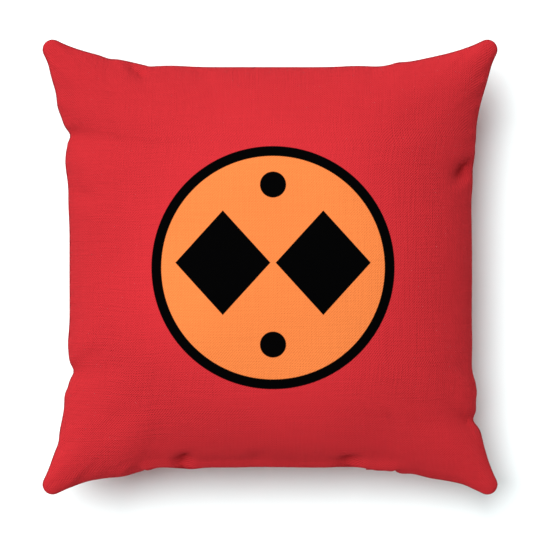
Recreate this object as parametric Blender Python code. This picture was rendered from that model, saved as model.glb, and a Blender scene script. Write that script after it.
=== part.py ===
"""Square throw pillow: a stuffed insert inside a removable cover with a concealed zip.

Metres, +Z up. The pillow lies on its back, with the front face up. The origin is on the
surface that it lies on, under the middle of the pillow. +Y points to the top edge, and the
zip is in the seam of the bottom edge, at -Y. The seam lies in a level plane all the way round.
"""

import math

import bmesh
import bpy
import numpy as np

# Driving dimensions. A layer is one closed cushion shape: the cover, the insert or the fill.
SEAM_HEIGHT = 0.072  # the seam plane above the surface that the pillow lies on
EAR_RADIUS = 0.010  # the round tip of a corner, seen from above
EAR_TANGENT = math.radians(27)  # where a side's flare runs into the round tip
FLARE_END = 0.50  # the slope of a side where its flare ends
DOME_POWER = 0.55  # 0.5 would be an ellipse: this is a little flatter at the rim
CLEARANCE = 0.0003  # between pieces that touch

COVER_CLOTH = 0.0010
INSERT_CLOTH = 0.0008

# Middle: origin to the middle of a side. Straight: half of the side's straight run. Flare:
# the slope at which it begins to turn outwards. Ear: origin to the outermost point of a
# corner. Rise and drop: the domes above and below the seam plane, rim included. Flat: the
# drop at which the underside rests flat. Rim: the radius of the fold at the seam. Steps: grid
# steps along the straight run and the flare of half a side. Joined: how far past the straight
# run the seam is sewn again.
COVER = {"middle": 0.196, "straight": 0.118, "flare": 0.32, "ear": 0.223, "rise": 0.080, "drop": 0.078,
         "flat": SEAM_HEIGHT, "rim": 0.0065, "steps": (4, 6), "joined": 0.006}
INSERT = {"middle": 0.184, "straight": 0.100, "flare": 0.10, "ear": 0.206, "rise": 0.0775, "drop": 0.0755,
          "flat": 0.0695, "rim": 0.0065, "steps": (3, 6), "joined": 0.006}
FILL = {"middle": 0.176, "straight": 0.092, "flare": 0.10, "ear": 0.192, "rise": 0.0759, "drop": 0.0739,
        "flat": 0.0680, "rim": 0.0040, "steps": (3, 4), "joined": 0.012}
FLAT_BLEND = 0.0015  # how softly the dome runs into the resting face

COVER_ALLOWANCE = 0.008  # seam allowance turned inwards
INSERT_ALLOWANCE = 0.006
SEAM_GAP = 0.00015  # each panel's fold from the seam plane
LIP_GAP = 0.0009  # the same where the zip's slit is, so that the slider's neck passes
LIP_DEPTH = 0.0018  # the allowance that is left there

THREAD_RADIUS = 0.00025
OVERLOCK_THICKNESS = 0.0005
OVERLOCK_REACH = 0.0033  # how far an overlock edge covers the allowances

# Zip. Inset is the distance inwards from the seam line.
ZIP_HALF = 0.1110  # half the length of a row of teeth
TAPE_HALF = 0.1175
TAPE_FOOT_INSET, TAPE_HEAD_INSET = 0.0021, 0.0045
TAPE_HEAD_RISE = 0.0121
TAPE_THICKNESS = 0.0005
TAPE_STITCH_RISE, TAPE_STITCH_INSET = 0.0080, 0.00475
TOOTH_PITCH, TOOTH_WIDTH = 0.0030, 0.0011
TOOTH_RISE = 0.00038  # each row's teeth stop just clear of the slider's neck
ROW_INNER_RISE, ROW_OUTER_RISE = 0.0011, 0.0021  # the cord that carries the teeth
ROW_INSETS = (0.0033, 0.0053)
STOP_LENGTH = 0.0024

SLIDER_END = 0.1140  # the slider's leading end when the zip is closed
SLIDER_LENGTH = 0.0100
NECK_LENGTH = 0.0030
NECK_HALF_THICKNESS = 0.0003
PLATE_INSETS = (0.0057, 0.0065)  # the plate behind the teeth
FLANGE_RISES = (0.0026, 0.0036)
FLANGE_INSET = 0.0037
SADDLE_INSETS = (-0.0013, -0.0005)  # outside the seam line, so negative
SADDLE_HALF_WIDTH = 0.0018
ARCH_HALF_WIDTH = 0.0008
ARCH_HALF_LENGTH = 0.0035
ARCH_INSETS = (-0.0036, -0.0029)
HINGE_X = SLIDER_END - 0.0050
HINGE_INSET = -0.0021

PULL_LENGTH = 0.0150
PULL_THICKNESS = 0.0010
PULL_HALF_WIDTH = 0.0030
PRONG_RISES = (0.0013, 0.0025)
PRONG_LENGTH = 0.0044
PULL_BAR_RADIUS = 0.00045

LABEL_SPAN = (-0.090, -0.055)  # along the left side
LABEL_PROFILE = ((0.0065, -0.0024), (0.0105, -0.0140), (0.0175, -0.0260))  # inset, rise
LABEL_THICKNESS = 0.0004

RED = (0.68, 0.034, 0.043)
WHITE_CLOTH = (0.80, 0.79, 0.76)
OFF_WHITE = (0.74, 0.72, 0.68)
RED_ENAMEL = (0.50, 0.025, 0.032)
NICKEL = (0.62, 0.62, 0.60)


# --- Materials and objects --------------------------------------------------------------

def material(name, color, roughness, metallic=0.0):
    """The Principled BSDF of that name, made once."""
    found = bpy.data.materials.get(name)
    if found:
        return found
    made = bpy.data.materials.new(name)
    made.use_nodes = True
    shader = made.node_tree.nodes["Principled BSDF"]
    shader.inputs["Base Color"].default_value = (*color, 1.0)
    shader.inputs["Roughness"].default_value = roughness
    shader.inputs["Metallic"].default_value = metallic
    return made


def printed_cloth():
    return material("printed_cloth", RED, 0.85)


def insert_cloth():
    return material("insert_cloth", WHITE_CLOTH, 0.90)


def fibre():
    return material("fibre", WHITE_CLOTH, 1.0)


def thread():
    return material("thread", OFF_WHITE, 0.70)


def zip_tape():
    return material("zip_tape", RED, 0.75)


def zip_nylon():
    return material("zip_nylon", RED, 0.45)


def enamel():
    return material("enamel", RED_ENAMEL, 0.30)


def stop_metal():
    return material("stop_metal", NICKEL, 0.35, 1.0)


def label_satin():
    return material("label_satin", OFF_WHITE, 0.50)


def add_object(name, mesh, surface, parent=None):
    """Puts a mesh in the scene with its faces pointing out and smooth where they bend gently."""
    shape = bmesh.new()
    shape.from_mesh(mesh)
    bmesh.ops.recalc_face_normals(shape, faces=shape.faces)
    shape.to_mesh(mesh)
    shape.free()
    mesh.shade_smooth()
    mesh.set_sharp_from_angle(angle=math.radians(35))
    mesh.materials.append(surface)
    made = bpy.data.objects.new(name, mesh)
    bpy.context.scene.collection.objects.link(made)
    made.parent = parent
    return made


def mesh_of(name, points, faces):
    mesh = bpy.data.meshes.new(name)
    mesh.from_pydata([tuple(map(float, p)) for p in points], [], faces)
    return mesh


# --- The cushion shape ------------------------------------------------------------------

def half_side(layer):
    """Half of the bottom side as close points, from its middle to the tip of its right ear:
    a straight run, a flare and the round tip up to the diagonal."""
    middle, straight = layer["middle"], layer["straight"]
    centre = layer["ear"] - EAR_RADIUS
    points = [(0.0, -middle), (straight, -middle)]
    start = np.array(points[-1])
    end = centre * np.array([1, -1]) - EAR_RADIUS * np.array([math.sin(EAR_TANGENT), math.cos(EAR_TANGENT)])
    run = end[0] - start[0]
    for t in np.linspace(0, 1, 40)[1:]:  # a Hermite curve between the two slopes
        points.append((2 * t**3 - 3 * t**2 + 1) * start
                      + (t**3 - 2 * t**2 + t) * run * np.array([1, -layer["flare"]])
                      + (3 * t**2 - 2 * t**3) * end + (t**3 - t**2) * run * np.array([1, -FLARE_END]))
    for angle in np.linspace(EAR_TANGENT, math.radians(-45), 12)[1:]:
        points.append((centre - EAR_RADIUS * math.sin(angle), -centre - EAR_RADIUS * math.cos(angle)))
    return np.array(points)


def grid_shares(layer):
    """Where the grid lines cross half a side, as shares of its length. The straight run's end
    and the joined place are two of them, and they crowd towards the ear."""
    half = half_side(layer)
    length = np.linalg.norm(np.diff(half, axis=0), axis=1).sum()
    along, flare = layer["steps"]
    bend = layer["straight"] / length
    joined = bend + layer["joined"] / length
    return length, np.r_[np.linspace(0, bend, along + 1),
                         joined + (1 - joined) * np.sin(math.pi / 2 * np.arange(flare + 1) / flare)]


def bottom_side(layer):
    """The bottom side at the grid lines, from the left ear to the right one."""
    length, shares = grid_shares(layer)
    half = half_side(layer)
    walked = np.r_[0, np.cumsum(np.linalg.norm(np.diff(half, axis=0), axis=1))]
    right = np.column_stack([np.interp(shares * length, walked, half[:, k]) for k in (0, 1)])
    return np.vstack([right[:0:-1] * [-1, 1], right])


def plan_grid(layer):
    """The outline filled with a Coons patch, as an array of (row, column, xy)."""
    bottom = bottom_side(layer)
    sides = {"bottom": bottom, "top": bottom * [1, -1],
             "right": bottom[:, ::-1] * [-1, 1], "left": bottom[:, ::-1]}
    shares = signed_shares(layer)
    u = ((shares + 1) / 2)[None, :, None]
    v = ((shares + 1) / 2)[:, None, None]
    patch = ((1 - v) * sides["bottom"][None] + v * sides["top"][None]
             + (1 - u) * sides["left"][:, None] + u * sides["right"][:, None])
    corners = ((1 - u) * (1 - v) * bottom[0] + u * (1 - v) * bottom[-1]
               + (1 - u) * v * sides["top"][0] + u * v * sides["top"][-1])
    return patch - corners


def signed_shares(layer):
    _, shares = grid_shares(layer)
    return np.r_[-shares[:0:-1], shares]


def dome_height(layer, face):
    """Height of the dome over the seam plane at each grid point. face is 1 for the front and
    -1 for the back, whose underside rests flat."""
    swell = np.clip(1 - signed_shares(layer) ** 2, 0, 1) ** DOME_POWER
    share = np.clip(1 - from_outline(layer) / layer["rim"], 0, 1)
    full = layer["rise"] if face > 0 else layer["drop"]
    height = (full - layer["rim"]) * np.outer(swell, swell) + layer["rim"] * np.sqrt(1 - share**2)
    return height if face > 0 else rested(height, layer["flat"])


def from_outline(layer):
    """Distance of each grid point from the outline, seen from above."""
    start, _ = outline(layer)
    side = np.roll(start, -1, axis=0) - start
    reach = plan_grid(layer)[:, :, None] - start
    along = np.clip((reach * side).sum(axis=3) / (side**2).sum(axis=1), 0, 1)
    return np.linalg.norm(reach - along[..., None] * side, axis=3).min(axis=2)


def rested(height, flat):
    """Heights past flat brought back to it, with a soft run into the resting face."""
    over = np.clip(height - (flat - FLAT_BLEND), 0, 2 * FLAT_BLEND)
    return np.minimum(height, flat + FLAT_BLEND) - over**2 / (4 * FLAT_BLEND)


def rim_indices(layer):
    """(row, column) of the outline's grid points, anticlockwise from the bottom left ear."""
    last = len(signed_shares(layer)) - 1
    return ([(0, c) for c in range(last)] + [(r, last) for r in range(last)]
            + [(last, last - c) for c in range(last)] + [(last - r, 0) for r in range(last)])


def outline(layer):
    """(points, unit normals pointing inwards) round the outline, seen from above."""
    plan = plan_grid(layer)
    points = np.array([plan[i] for i in rim_indices(layer)])
    after = np.roll(points, -1, axis=0) - points
    length = np.linalg.norm(after, axis=1)[:, None]
    before, length_before = np.roll(after, 1, axis=0), np.roll(length, 1, axis=0)
    along = before / length_before * length + after / length * length_before
    along /= np.linalg.norm(along, axis=1)[:, None]
    return points, np.column_stack([-along[:, 1], along[:, 0]])


def over_zip(layer):
    """Which points of the outline are over the zip."""
    points, _ = outline(layer)
    return (points[:, 1] < 0) & (np.abs(points[:, 0]) < layer["straight"] + 1e-5) & (
        np.abs(points[:, 1] + layer["middle"]) < 1e-5)


# --- Cloth panels, fill and seams -------------------------------------------------------

def cloth_panel(name, layer, face, cloth, allowance, surface, slit=False):
    """A domed panel with its seam allowance turned inwards all the way round. The sheet is
    the outside, and Solidify gives the cloth its thickness inwards."""
    plan, height = plan_grid(layer), dome_height(layer, face)
    rim = rim_indices(layer)
    rows, columns = height.shape
    points, inwards = outline(layer)
    open_here = over_zip(layer) if slit else np.zeros(len(rim), bool)
    gap = np.where(open_here, LIP_GAP, SEAM_GAP)
    width = np.where(open_here, LIP_DEPTH, allowance)

    for place, lift in zip(rim, gap):
        height[place] = lift
    sheet = np.dstack([plan, SEAM_HEIGHT + face * height]).reshape(-1, 3)
    turned = np.column_stack([points + inwards * width[:, None], SEAM_HEIGHT + face * gap])

    faces = [(r * columns + c, r * columns + c + 1, (r + 1) * columns + c + 1, (r + 1) * columns + c)
             for r in range(rows - 1) for c in range(columns - 1)]
    edge = [r * columns + c for r, c in rim]
    first = rows * columns
    for k in range(len(rim)):
        after = (k + 1) % len(rim)
        faces.append((edge[after], edge[k], first + k, first + after))
    if face < 0:
        faces = [f[::-1] for f in faces]
    mesh = mesh_of(name, np.vstack([sheet, turned]), faces)
    mesh.shade_smooth()
    mesh.materials.append(surface)
    panel = bpy.data.objects.new(name, mesh)
    bpy.context.scene.collection.objects.link(panel)
    solidify = panel.modifiers.new("cloth", "SOLIDIFY")
    solidify.thickness = cloth
    solidify.offset = -1
    solidify.use_even_offset = True
    return panel


def fill_body(name, layer, surface):
    """One closed cushion-shaped solid."""
    plan = plan_grid(layer)
    rows, columns = plan.shape[:2]
    rim = set(rim_indices(layer))
    sheets, numbers, points = [], {}, []
    for face in (1, -1):
        height = dome_height(layer, face)
        for r in range(rows):
            for c in range(columns):
                key = (r, c, 0 if (r, c) in rim else face)
                if key not in numbers:
                    numbers[key] = len(points)
                    points.append((*plan[r, c], SEAM_HEIGHT + face * height[r, c]))
        for r in range(rows - 1):
            for c in range(columns - 1):
                corners = ((r, c), (r, c + 1), (r + 1, c + 1), (r + 1, c))
                sheets.append([numbers[(*p, 0 if p in rim else face)] for p in corners])
    return add_object(name, mesh_of(name, points, sheets), surface)


def swept(name, layer, profile, surface, closed):
    """A profile of (inset, rise) points carried round the outline: all the way, or from one
    end of the zip to the other."""
    points, inwards = outline(layer)
    stations = list(range(len(points)))
    if not closed:
        gone = np.flatnonzero(over_zip(layer))
        stations = [(gone[-1] + 1 + k) % len(points) for k in range(len(points) - len(gone))]
    corners = len(profile)
    rings = [(*(points[s] + inwards[s] * inset), SEAM_HEIGHT + rise)
             for s in stations for inset, rise in profile]
    faces = []
    for k in range(len(stations) if closed else len(stations) - 1):
        here, there = k * corners, (k + 1) % len(stations) * corners
        for c in range(corners):
            after = (c + 1) % corners
            faces.append((here + c, here + after, there + after, there + c))
    if not closed:
        faces += [tuple(range(corners)), tuple(range(len(rings) - corners, len(rings)))]
    return add_object(name, mesh_of(name, rings, faces), surface)


def overlock_profile(allowance, cloth):
    """A channel that wraps the raw edges of both allowances."""
    inner = SEAM_GAP + cloth + CLEARANCE
    outer = inner + OVERLOCK_THICKNESS
    start, end = allowance + CLEARANCE - OVERLOCK_REACH, allowance + CLEARANCE
    cap = end + OVERLOCK_THICKNESS
    return [(start, -outer), (cap, -outer), (cap, outer), (start, outer),
            (start, inner), (end, inner), (end, -inner), (start, -inner)]


def thread_profile(inset, rise):
    """The section of a sewing thread, as a square on its corner."""
    return [(inset + THREAD_RADIUS * math.cos(a), rise + THREAD_RADIUS * math.sin(a))
            for a in np.arange(4) * math.pi / 2]


def make_cover():
    cloth_panel("cover_front_panel", COVER, 1, COVER_CLOTH, COVER_ALLOWANCE, printed_cloth(), slit=True)
    cloth_panel("cover_back_panel", COVER, -1, COVER_CLOTH, COVER_ALLOWANCE, printed_cloth(), slit=True)
    swept("cover_overlock_thread", COVER, overlock_profile(COVER_ALLOWANCE, COVER_CLOTH), thread(),
          closed=False)
    make_lockstitch("cover", COVER, COVER_CLOTH, inset=0.0024, closed=False)


def make_insert():
    cloth_panel("insert_front_panel", INSERT, 1, INSERT_CLOTH, INSERT_ALLOWANCE, insert_cloth())
    cloth_panel("insert_back_panel", INSERT, -1, INSERT_CLOTH, INSERT_ALLOWANCE, insert_cloth())
    swept("insert_overlock_thread", INSERT, overlock_profile(INSERT_ALLOWANCE, INSERT_CLOTH), thread(),
          closed=True)
    make_lockstitch("insert", INSERT, INSERT_CLOTH, inset=0.0022, closed=True)
    fill_body("fibre_fill", FILL, fibre())


def make_lockstitch(owner, layer, cloth, inset, closed):
    """The two threads of the seam, one on each allowance."""
    rise = SEAM_GAP + cloth + CLEARANCE + THREAD_RADIUS
    swept(f"{owner}_needle_thread", layer, thread_profile(inset, rise), thread(), closed)
    swept(f"{owner}_bobbin_thread", layer, thread_profile(inset, -rise), thread(), closed)


# --- Prisms along an axis ---------------------------------------------------------------

def zip_point(x, inset, rise):
    """A point of the bottom side from its place along the zip, inset and rise."""
    return (x, inset - COVER["middle"], SEAM_HEIGHT + rise)


def left_point(y, inset, rise):
    """The same on the left side."""
    return (inset - COVER["middle"], y, SEAM_HEIGHT + rise)


def prism(name, place, low, high, profile):
    """A mesh: a profile of (inset, rise) points between two places along a side."""
    count = len(profile)
    points = [place(end, inset, rise) for end in (low, high) for inset, rise in profile]
    faces = [(k, (k + 1) % count, count + (k + 1) % count, count + k) for k in range(count)]
    faces += [tuple(range(count)), tuple(range(count, 2 * count))]
    return mesh_of(name, points, faces)


def rectangle(insets, rises):
    return [(insets[0], rises[0]), (insets[1], rises[0]), (insets[1], rises[1]), (insets[0], rises[1])]


def union(name, meshes, surface, bevel, parent):
    """Overlapping meshes joined into one body, with small bevels on its edges."""
    first = add_object(name, meshes[0], surface, parent)
    for k, mesh in enumerate(meshes[1:]):
        other = add_object(f"{name}_join_{k}", mesh, surface, parent)
        other.hide_render = True
        other.display_type = "WIRE"
        join = first.modifiers.new(f"join_{k}", "BOOLEAN")
        join.operation = "UNION"
        join.object = other
    edge = first.modifiers.new("bevel", "BEVEL")
    edge.width = bevel
    edge.segments = 2
    edge.limit_method = "ANGLE"
    return first


# --- Zip --------------------------------------------------------------------------------

def tape_mesh(name, face):
    foot, head = TAPE_FOOT_INSET, TAPE_HEAD_INSET
    profile = [(foot, face * LIP_GAP), (foot + TAPE_THICKNESS, face * LIP_GAP),
               (head + TAPE_THICKNESS, face * TAPE_HEAD_RISE), (head, face * TAPE_HEAD_RISE)]
    return prism(name, zip_point, -TAPE_HALF, TAPE_HALF, profile)


def teeth_mesh(name, face):
    """A cord with teeth that reach almost to the seam plane. The other row's teeth stand half a
    pitch on, facing the gaps between these."""
    margin = 0.75 * TOOTH_PITCH
    first = -ZIP_HALF + margin + (0 if face > 0 else TOOTH_PITCH / 2)
    count = 1 + round((2 * ZIP_HALF - 2 * margin - TOOTH_PITCH / 2) / TOOTH_PITCH)
    edge = [(-ZIP_HALF, ROW_OUTER_RISE), (-ZIP_HALF, ROW_INNER_RISE)]
    for k in range(count):
        left = first + k * TOOTH_PITCH - TOOTH_WIDTH / 2
        right = left + TOOTH_WIDTH
        edge += [(left, ROW_INNER_RISE), (left, TOOTH_RISE), (right, TOOTH_RISE), (right, ROW_INNER_RISE)]
    edge += [(ZIP_HALF, ROW_INNER_RISE), (ZIP_HALF, ROW_OUTER_RISE)]
    points = [zip_point(x, inset, face * rise) for inset in ROW_INSETS for x, rise in edge]
    size = len(edge)
    faces = [(k, (k + 1) % size, size + (k + 1) % size, size + k) for k in range(size)]
    faces += [tuple(range(size)), tuple(range(size, 2 * size))]
    return mesh_of(name, points, faces)


def stitch_mesh(name, face):
    return prism(name, zip_point, -TAPE_HALF, TAPE_HALF,
                 thread_profile(TAPE_STITCH_INSET, face * TAPE_STITCH_RISE))


def make_zip_side(side, face):
    add_object(f"zipper_{side}_tape", tape_mesh("tape", face), zip_tape())
    add_object(f"zipper_{side}_teeth", teeth_mesh("teeth", face), zip_nylon())
    add_object(f"zipper_{side}_stitching", stitch_mesh("stitching", face), thread())
    start = SLIDER_END + 0.0004
    stop = prism("stop", zip_point, start, start + STOP_LENGTH,
                 rectangle((ROW_INSETS[0] + 0.0004, ROW_INSETS[1]), (face * 0.0010, face * 0.0034)))
    add_object(f"zipper_{side}_top_stop", stop, stop_metal())


def make_bottom_stop():
    end = -ZIP_HALF - 0.0004
    stop = prism("stop", zip_point, end - STOP_LENGTH, end, rectangle(ROW_INSETS, (-0.0024, 0.0024)))
    add_object("zipper_bottom_stop", stop, stop_metal())


def make_slider(carrier):
    """A channel behind the teeth, a neck through the slit and an arch outside for the pull."""
    start, end = SLIDER_END - SLIDER_LENGTH, SLIDER_END
    overlap = 0.0004
    low, high = FLANGE_RISES

    def block(ends, insets, rises):
        return prism("block", zip_point, *ends, rectangle(insets, rises))

    meshes = [block((start, end), PLATE_INSETS, (-high, high)),
              block((end - NECK_LENGTH, end), (SADDLE_INSETS[0] + overlap, PLATE_INSETS[0] + overlap),
                    (-NECK_HALF_THICKNESS, NECK_HALF_THICKNESS)),
              block((start + 0.0005, end - 0.0002), SADDLE_INSETS, (-SADDLE_HALF_WIDTH, SADDLE_HALF_WIDTH))]
    for face in (1, -1):
        meshes.append(block((start, end), (FLANGE_INSET, PLATE_INSETS[0] + overlap),
                            (face * low, face * high)))
    back, front = HINGE_X - ARCH_HALF_LENGTH, HINGE_X + ARCH_HALF_LENGTH
    width = (-ARCH_HALF_WIDTH, ARCH_HALF_WIDTH)
    post = 0.0008
    meshes.append(block((back, front), ARCH_INSETS, width))
    for ends in ((back, back + post), (front - post, front)):
        meshes.append(block(ends, (ARCH_INSETS[1] - overlap, SADDLE_INSETS[0] + overlap), width))
    return union("zipper_slider", meshes, enamel(), 0.00015, carrier)


def pull_outline():
    """(x from the hinge, rise) round a fork with a round end. It points along -X."""
    inner, outer = PRONG_RISES
    tip = -(PULL_LENGTH - PULL_HALF_WIDTH)
    half = [(PULL_BAR_RADIUS, inner), (PULL_BAR_RADIUS, outer), (-PRONG_LENGTH, outer),
            (-PRONG_LENGTH - 0.0020, PULL_HALF_WIDTH)]
    for angle in np.linspace(math.pi / 2, math.pi, 7):
        half.append((tip + PULL_HALF_WIDTH * math.cos(angle), PULL_HALF_WIDTH * math.sin(angle)))
    lower = [(x, -rise) for x, rise in half[-2::-1]]
    return half + lower + [(-PRONG_LENGTH, -inner), (-PRONG_LENGTH, inner)]


def make_pull(hinge):
    """A flat fork closed by a round bar, which lies under the slider's arch."""
    edge = pull_outline()
    size = len(edge)
    points = [(x, y, rise) for y in (-PULL_THICKNESS / 2, PULL_THICKNESS / 2) for x, rise in edge]
    faces = [(k, (k + 1) % size, size + (k + 1) % size, size + k) for k in range(size)]
    faces += [tuple(range(size)), tuple(range(size, 2 * size))]
    bar = bmesh.new()
    bmesh.ops.create_cone(bar, cap_ends=True, segments=12, radius1=PULL_BAR_RADIUS, radius2=PULL_BAR_RADIUS,
                          depth=2 * (PRONG_RISES[0] + 0.0006))
    bar_mesh = bpy.data.meshes.new("bar")
    bar.to_mesh(bar_mesh)
    bar.free()
    return union("zipper_pull", [mesh_of("fork", points, faces), bar_mesh], enamel(), 0.00012, hinge)


def make_zip():
    make_zip_side("front", 1)
    make_zip_side("back", -1)
    make_bottom_stop()
    carrier = bpy.data.objects.new("slider_carrier", None)
    bpy.context.scene.collection.objects.link(carrier)
    make_slider(carrier)
    hinge = bpy.data.objects.new("pull_hinge", None)
    bpy.context.scene.collection.objects.link(hinge)
    hinge.parent = carrier
    hinge.location = zip_point(HINGE_X, HINGE_INSET, 0)
    make_pull(hinge)


def make_label():
    """A blank care label that hangs inside the left seam."""
    top, middle, end = LABEL_PROFILE
    profile = [top, middle, end] + [(inset + LABEL_THICKNESS, rise) for inset, rise in (end, middle, top)]
    add_object("care_label", prism("label", left_point, *LABEL_SPAN, profile), label_satin())


def main():
    for old in list(bpy.data.objects):
        bpy.data.objects.remove(old, do_unlink=True)
    make_cover()
    make_insert()
    make_zip()
    make_label()


main()
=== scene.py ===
"""Looks for the square throw pillow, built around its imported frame. Metres, +Z up.

The cover is cut square, sewn along the seam's outline and blown up by a cloth simulation. The
insert and the filling take their shapes from the cover's. Everything is worked out relative
to the seam, which lies in a level plane.
"""

import math

import bpy
import numpy as np
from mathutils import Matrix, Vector


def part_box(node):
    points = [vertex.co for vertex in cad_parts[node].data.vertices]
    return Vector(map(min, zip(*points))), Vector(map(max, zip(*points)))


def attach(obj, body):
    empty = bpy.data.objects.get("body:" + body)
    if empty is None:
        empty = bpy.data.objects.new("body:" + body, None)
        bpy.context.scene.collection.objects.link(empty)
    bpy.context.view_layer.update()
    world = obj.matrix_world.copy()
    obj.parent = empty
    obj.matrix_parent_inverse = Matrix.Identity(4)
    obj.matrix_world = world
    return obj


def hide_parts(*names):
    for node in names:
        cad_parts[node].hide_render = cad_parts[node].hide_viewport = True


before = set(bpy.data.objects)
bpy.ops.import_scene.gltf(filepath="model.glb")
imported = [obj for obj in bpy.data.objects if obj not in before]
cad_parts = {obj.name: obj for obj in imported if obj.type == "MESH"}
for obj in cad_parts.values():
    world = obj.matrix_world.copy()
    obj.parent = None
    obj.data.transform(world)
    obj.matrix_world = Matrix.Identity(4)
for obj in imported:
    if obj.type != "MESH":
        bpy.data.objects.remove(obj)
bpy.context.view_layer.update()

SEAM_HEIGHT = (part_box("cover_front_panel")[0].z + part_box("cover_back_panel")[1].z) / 2

# Outlines, as in the CAD, save that the filling's ears end 2 mm sooner. Middle: to the middle
# of a side. Straight: half of its straight run. Flare: the slope at which it begins to turn
# outwards. Ear: to the outermost point of a corner. Height: that of the dome, as a share of
# the cover's. Cut: the side of the square that the cloth is cut to. Cloth: its thickness.
# Allowance: how far it is turned inwards at the seam.
EAR_RADIUS = 0.010
EAR_TANGENT = math.radians(27)  # where the flare runs into the ear's round tip
FLARE_END = 0.50  # the slope of a side where its flare ends
COVER = {"middle": 0.196, "straight": 0.118, "flare": 0.32, "ear": 0.223, "height": 1.0,
         "cut": 0.457, "cloth": 0.0009, "allowance": 0.008}
INSERT = {"middle": 0.184, "straight": 0.100, "flare": 0.10, "ear": 0.206, "height": 0.966,
          "cut": 0.430, "cloth": 0.0008, "allowance": 0.006}
FILL = {"middle": 0.176, "straight": 0.092, "flare": 0.10, "ear": 0.190, "height": 0.938}
RISES = {"front": 0.080, "back": 0.078}  # the domes above and below the seam, before it rests

# Where the seams leave the CAD outline: (place along the side, outward shift, width).
# Places count from the side's middle, to the right or up. The short inward ones are puckers.
SEAM_SHIFTS = {
    "left": [
        (0.000, 0.0006, 0.090),
        (0.062, 0.0012, 0.018),
        (0.104, 0.0045, 0.022),
        (0.129, -0.0046, 0.0065),
        (0.157, 0.0026, 0.012),
        (0.183, 0.0016, 0.014),
        (-0.102, -0.0038, 0.0065),
        (-0.124, 0.0030, 0.011),
        (-0.076, 0.0018, 0.016),
        (-0.172, -0.0014, 0.008),
    ],
    "right": [
        (0.000, 0.0020, 0.090),
        (-0.080, 0.0012, 0.026),
        (-0.150, -0.0050, 0.0065),
        (-0.118, 0.0056, 0.013),
        (0.115, 0.0046, 0.018),
        (0.083, 0.0016, 0.014),
        (0.180, 0.0012, 0.016),
    ],
    "top": [
        (-0.158, -0.0014, 0.007),
        (-0.098, 0.0014, 0.022),
        (0.086, 0.0012, 0.020),
        (0.122, 0.0026, 0.011),
    ],
    "bottom": [
        (-0.180, -0.0006, 0.012),
        (-0.142, 0.0026, 0.016),
        (-0.124, 0.0010, 0.006),
        (0.127, 0.0034, 0.010),
        (0.156, 0.0014, 0.014),
        (0.190, -0.0008, 0.010),
    ],
}
SHIFTS_END = (0.033, 0.018)  # the shifts fade out between these distances from the ear's tip
SHIFTS_PAST_ZIP = 0.007  # from each end of the zip, over which the bottom's shifts come in

# Folds that run in from the seam: (side, place, slant, length, width, depth). A Rise gives the
# two heights over the seam between which something comes in, so that the seam stays whole.
FOLD_RISE = (0.001, 0.011)
BACK_FOLDS = 0.7  # the depth of the back's folds, as a share of the front's
FOLDS = [
    ("left", 0.129, -0.30, 0.012, 0.0050, 0.0042),
    ("left", -0.102, 0.30, 0.012, 0.0050, 0.0036),
    ("right", -0.150, 0.40, 0.020, 0.0060, 0.0040),
    ("right", 0.098, -0.55, 0.016, 0.0060, 0.0050),
    ("top", -0.133, 0.45, 0.010, 0.0042, 0.0044),
    ("top", 0.100, -0.30, 0.012, 0.0050, 0.0018),
]
# Dimples of the front: (x, y, half length, half width, angle of the length, depth).
DIMPLE_RISE = (0.005, 0.011)
DIMPLES = [
    (-0.086, -0.1925, 0.010, 0.0062, 0.9, 0.0095),
    (0.074, -0.193, 0.012, 0.0062, 0.35, 0.0100),
    (-0.012, -0.186, 0.012, 0.007, 0.3, 0.0022),
    (0.191, 0.092, 0.011, 0.0065, 0.75, 0.0068),
    (-0.125, 0.191, 0.006, 0.0035, -1.1, 0.0040),
    (0.176, -0.118, 0.018, 0.008, -0.9, 0.0020),
    (-0.180, 0.069, 0.016, 0.008, -0.2, 0.0022),
    (-0.176, -0.086, 0.015, 0.007, 0.3, 0.0014),
    (-0.062, 0.184, 0.012, 0.006, -1.0, 0.0014),
    (-0.150, -0.150, 0.040, 0.012, 0.75, 0.0016),
    (0.152, -0.148, 0.040, 0.012, -0.75, 0.0016),
    (0.150, 0.152, 0.040, 0.011, 0.80, 0.0012),
]
# How far the front hangs out over the zip: (place, overhang, width).
OVERHANGS = [
    (-0.080, 0.0022, 0.014),
    (-0.040, 0.0005, 0.020),
    (0.042, 0.0005, 0.026),
    (0.107, 0.0034, 0.013),
    (0.121, 0.0028, 0.007),
    (-0.121, 0.0032, 0.008),
]
OVERHANG_RISE = (0.0032, 0.0068)
OVERHANG_BACK = (0.0070, 0.0170)  # the heights between which it goes back to the dome
OVERHANG_ENDS = (0.118, 0.134)  # the places between which it fades out
BOTTOM_STRIP = 0.05  # only cloth this near the bottom side is moved

# The stuffing's lumps, and the small ripples along the seam.
LUMP_SIZE = 0.0016
LUMP_RISE = (0.006, 0.045)
LUMP_SEEDS = {1: 0.7, -1: 2.3}  # of the front and the back
RIPPLE_SIZE = 0.0006
RIPPLE_RISE = (0.0, 0.006)
RIPPLE_HEIGHT = 0.009  # over which they die away

GRID_CELLS = 86  # along a side, in the simulation; the finished cloth has twice as many
SIM_FRAMES = 14
DOME_POWER = 0.55  # of the dome that the simulation starts from
FLAT_BLEND = 0.0015  # how softly the underside runs into its resting face

SEAM_GAP = 0.00015  # each panel's fold from the seam plane
LIP_GAP = 0.0009  # the same along the zip
LIP_DEPTH = 0.0018  # the allowance that is left there
ZIP_HALF, ZIP_END = 0.118, 0.124  # where the slit begins to close, and where it has closed

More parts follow.
